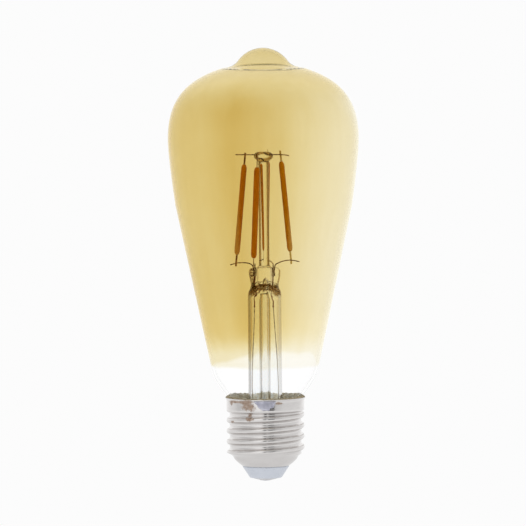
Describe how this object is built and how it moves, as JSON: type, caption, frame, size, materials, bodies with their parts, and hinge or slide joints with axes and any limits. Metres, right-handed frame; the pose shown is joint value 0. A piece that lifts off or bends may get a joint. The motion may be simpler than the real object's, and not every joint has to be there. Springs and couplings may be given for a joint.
{
  "type": "smart light bulb",
  "caption": "Pear-shaped amber glass bulb with a domed pip, holding LED filament sticks on a glass mount, on an E27 screw cap that hides the driver and its radio.",
  "frame": {"origin": "lowest point of the centre contact's solder, on the lamp's axis: where the lamp meets its socket's centre contact", "axes": "+Z along the lamp's axis from the contact to the glass pip, -Y toward the side with the side solder (the front), +X to the right seen from the front"},
  "size_m": [0.064, 0.064, 0.1452],
  "materials": {
    "amber_glass": "smooth blown glass, amber tint fading to clear low down",
    "clear_glass": "clear drawn and pressed glass",
    "phosphor_silicone": "satin silicone loaded with orange phosphor",
    "filament_substrate": "sintered white strip",
    "nickel_plate": "bright nickel plate, lightly stained by flux",
    "lead_wire": "drawn nickel wire",
    "seal_wire": "copper-clad sealing wire, oxidised",
    "copper_wire": "drawn copper, some of it enamelled",
    "solder": "tin solder, dull and slightly grainy",
    "insulator_plastic": "moulded, pale blue-grey, satin",
    "cement": "hard porous basing cement",
    "circuit_board": "glass-epoxy laminate, solder mask",
    "radio_board": "glass-epoxy laminate, black solder mask",
    "black_package": "moulded epoxy",
    "sleeve_film": "polyimide film",
    "capacitor_sleeve": "shrunk printed-film sleeve, left plain",
    "ferrite": "sintered ferrite",
    "resistor_lacquer": "baked lacquer",
    "film_box": "moulded box, epoxy filled",
    "crystal_can": "ceramic package"
  },
  "bodies": {
    "root": {"glass_envelope": "amber_glass", "mount_tube": "clear_glass", "exhaust_tube": "clear_glass", "mount_post": "clear_glass", "cross_wire": "lead_wire", "depth_wire": "lead_wire", "left_lead": "lead_wire", "right_lead": "lead_wire", "front_branch_wire": "lead_wire", "back_branch_wire": "lead_wire", "left_seal_wire": "seal_wire", "right_seal_wire": "seal_wire", "left_supply_wire": "copper_wire", "right_supply_wire": "copper_wire", "screw_shell": "nickel_plate", "basing_cement": "cement", "insulator": "insulator_plastic", "centre_contact": "nickel_plate", "contact_solder": "solder", "side_solder": "solder", "shell_wire": "copper_wire", "contact_wire": "copper_wire", "insulating_sleeve": "sleeve_film", "driver_board": "circuit_board", "smoothing_capacitor": "capacitor_sleeve", "bridge_rectifier": "black_package", "driver_chip": "black_package", "inductor_core": "ferrite", "inductor_winding": "copper_wire", "fuse_resistor": "resistor_lacquer", "film_capacitor": "film_box", "sense_resistor": "black_package", "radio_board": "radio_board", "radio_shield": "nickel_plate", "radio_crystal": "crystal_can", "antenna_wire": "copper_wire", "filament_left_coating": "phosphor_silicone", "filament_left_carrier": "filament_substrate", "filament_left_lower_tab": "lead_wire", "filament_left_upper_tab": "lead_wire", "filament_right_coating": "phosphor_silicone", "filament_right_carrier": "filament_substrate", "filament_right_lower_tab": "lead_wire", "filament_right_upper_tab": "lead_wire", "filament_front_coating": "phosphor_silicone", "filament_front_carrier": "filament_substrate", "filament_front_lower_tab": "lead_wire", "filament_front_upper_tab": "lead_wire", "filament_back_coating": "phosphor_silicone", "filament_back_carrier": "filament_substrate", "filament_back_lower_tab": "lead_wire", "filament_back_upper_tab": "lead_wire"}
  },
  "joints": []
}
